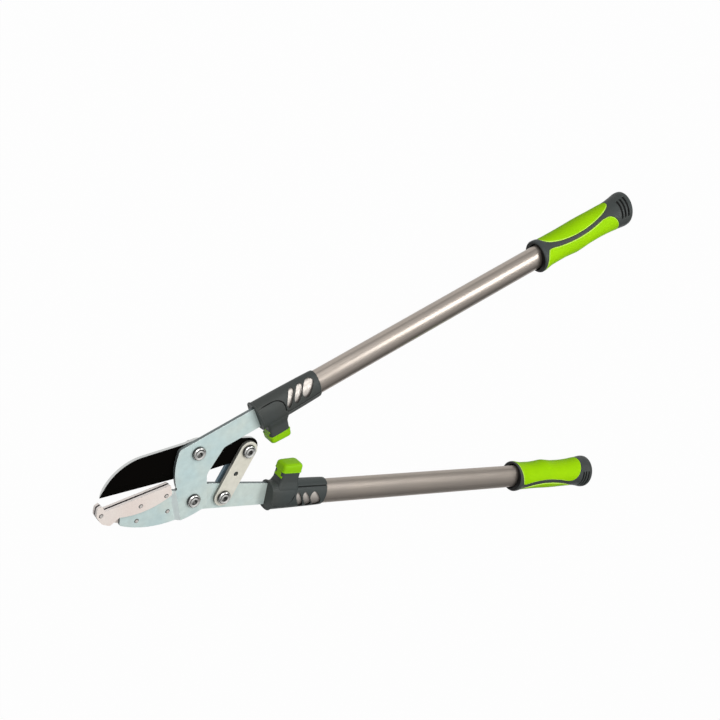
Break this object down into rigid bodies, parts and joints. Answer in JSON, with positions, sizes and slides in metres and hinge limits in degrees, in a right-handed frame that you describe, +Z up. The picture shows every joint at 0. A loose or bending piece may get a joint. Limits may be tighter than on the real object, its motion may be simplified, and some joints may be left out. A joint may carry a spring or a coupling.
{
  "type": "anvil lopper",
  "caption": "Long-handled anvil lopper with compound linkage: a coated blade closes on a grooved anvil; oval tube handles, soft grips and bumpers.",
  "frame": {"origin": "centre of the footprint, at ground level, lying on its back", "axes": "+X along the middle line between the handles, from head to grips; +Z up, out of the front face, along every pivot"},
  "size_m": [0.728, 0.4319, 0.037],
  "materials": {
    "plate_steel": "zinc plated, satin",
    "link_zinc": "zinc plated, bright",
    "zinc": "zinc plated",
    "anvil_alloy": "cast, matt",
    "coated_blade": "non-stick coat",
    "bush_brass": "turned",
    "tube_alloy": "anodised, satin",
    "slate_plastic": "fine grain",
    "bumper_rubber": "moulded",
    "pad_rubber": "moulded, soft"
  },
  "bodies": {
    "upper_handle": {"upper_plate": "plate_steel", "anvil": "anvil_alloy", "anvil_rivets": "anvil_alloy", "jaw_rivets": "zinc", "main_bolt": "zinc", "main_washer": "zinc", "main_nut": "zinc", "blade_bolt": "zinc", "blade_washer": "zinc", "blade_nut": "zinc", "upper_insert": "slate_plastic", "upper_tang_rivets": "zinc", "upper_tube": "tube_alloy", "upper_collar": "slate_plastic", "upper_bumper": "bumper_rubber", "upper_grip": "slate_plastic", "upper_palm_pad": "pad_rubber", "upper_finger_pad": "pad_rubber"},
    "lower_handle": {"lower_plate": "plate_steel", "lower_insert": "slate_plastic", "lower_tang_rivets": "zinc", "lower_tube": "tube_alloy", "lower_collar": "slate_plastic", "lower_bumper": "bumper_rubber", "lower_grip": "slate_plastic", "lower_palm_pad": "pad_rubber", "lower_finger_pad": "pad_rubber"},
    "links": {"front_link": "link_zinc", "rear_link": "link_zinc", "link_bolt": "zinc", "tail_bolt": "zinc", "link_washers": "zinc", "link_nuts": "zinc"},
    "blade": {"blade": "coated_blade", "blade_bush": "bush_brass"}
  },
  "joints": [
    {"name": "handle_pivot", "type": "hinge", "parent": "upper_handle", "child": "lower_handle", "pos_m": [-0.2529, -0.0259, 0.0185], "axis": [0, 0, 1], "range_deg": [-50, 14.5]},
    {"name": "blade_pivot", "type": "hinge", "parent": "upper_handle", "child": "blade", "pos_m": [-0.24794, 0.03194, 0.0185], "axis": [0, 0, 1], "range_deg": [-29.5, 8.55]},
    {"name": "link_pivot", "type": "hinge", "parent": "lower_handle", "child": "links", "pos_m": [-0.21501, -0.03519, 0.0185], "axis": [0, 0, 1], "range_deg": [-13.56, 46.75]}
  ],
  "couplings": [
    {"joint": "blade_pivot", "follows": "handle_pivot", "ratio": 0.59},
    {"joint": "link_pivot", "follows": "handle_pivot", "ratio": -0.935}
  ]
}
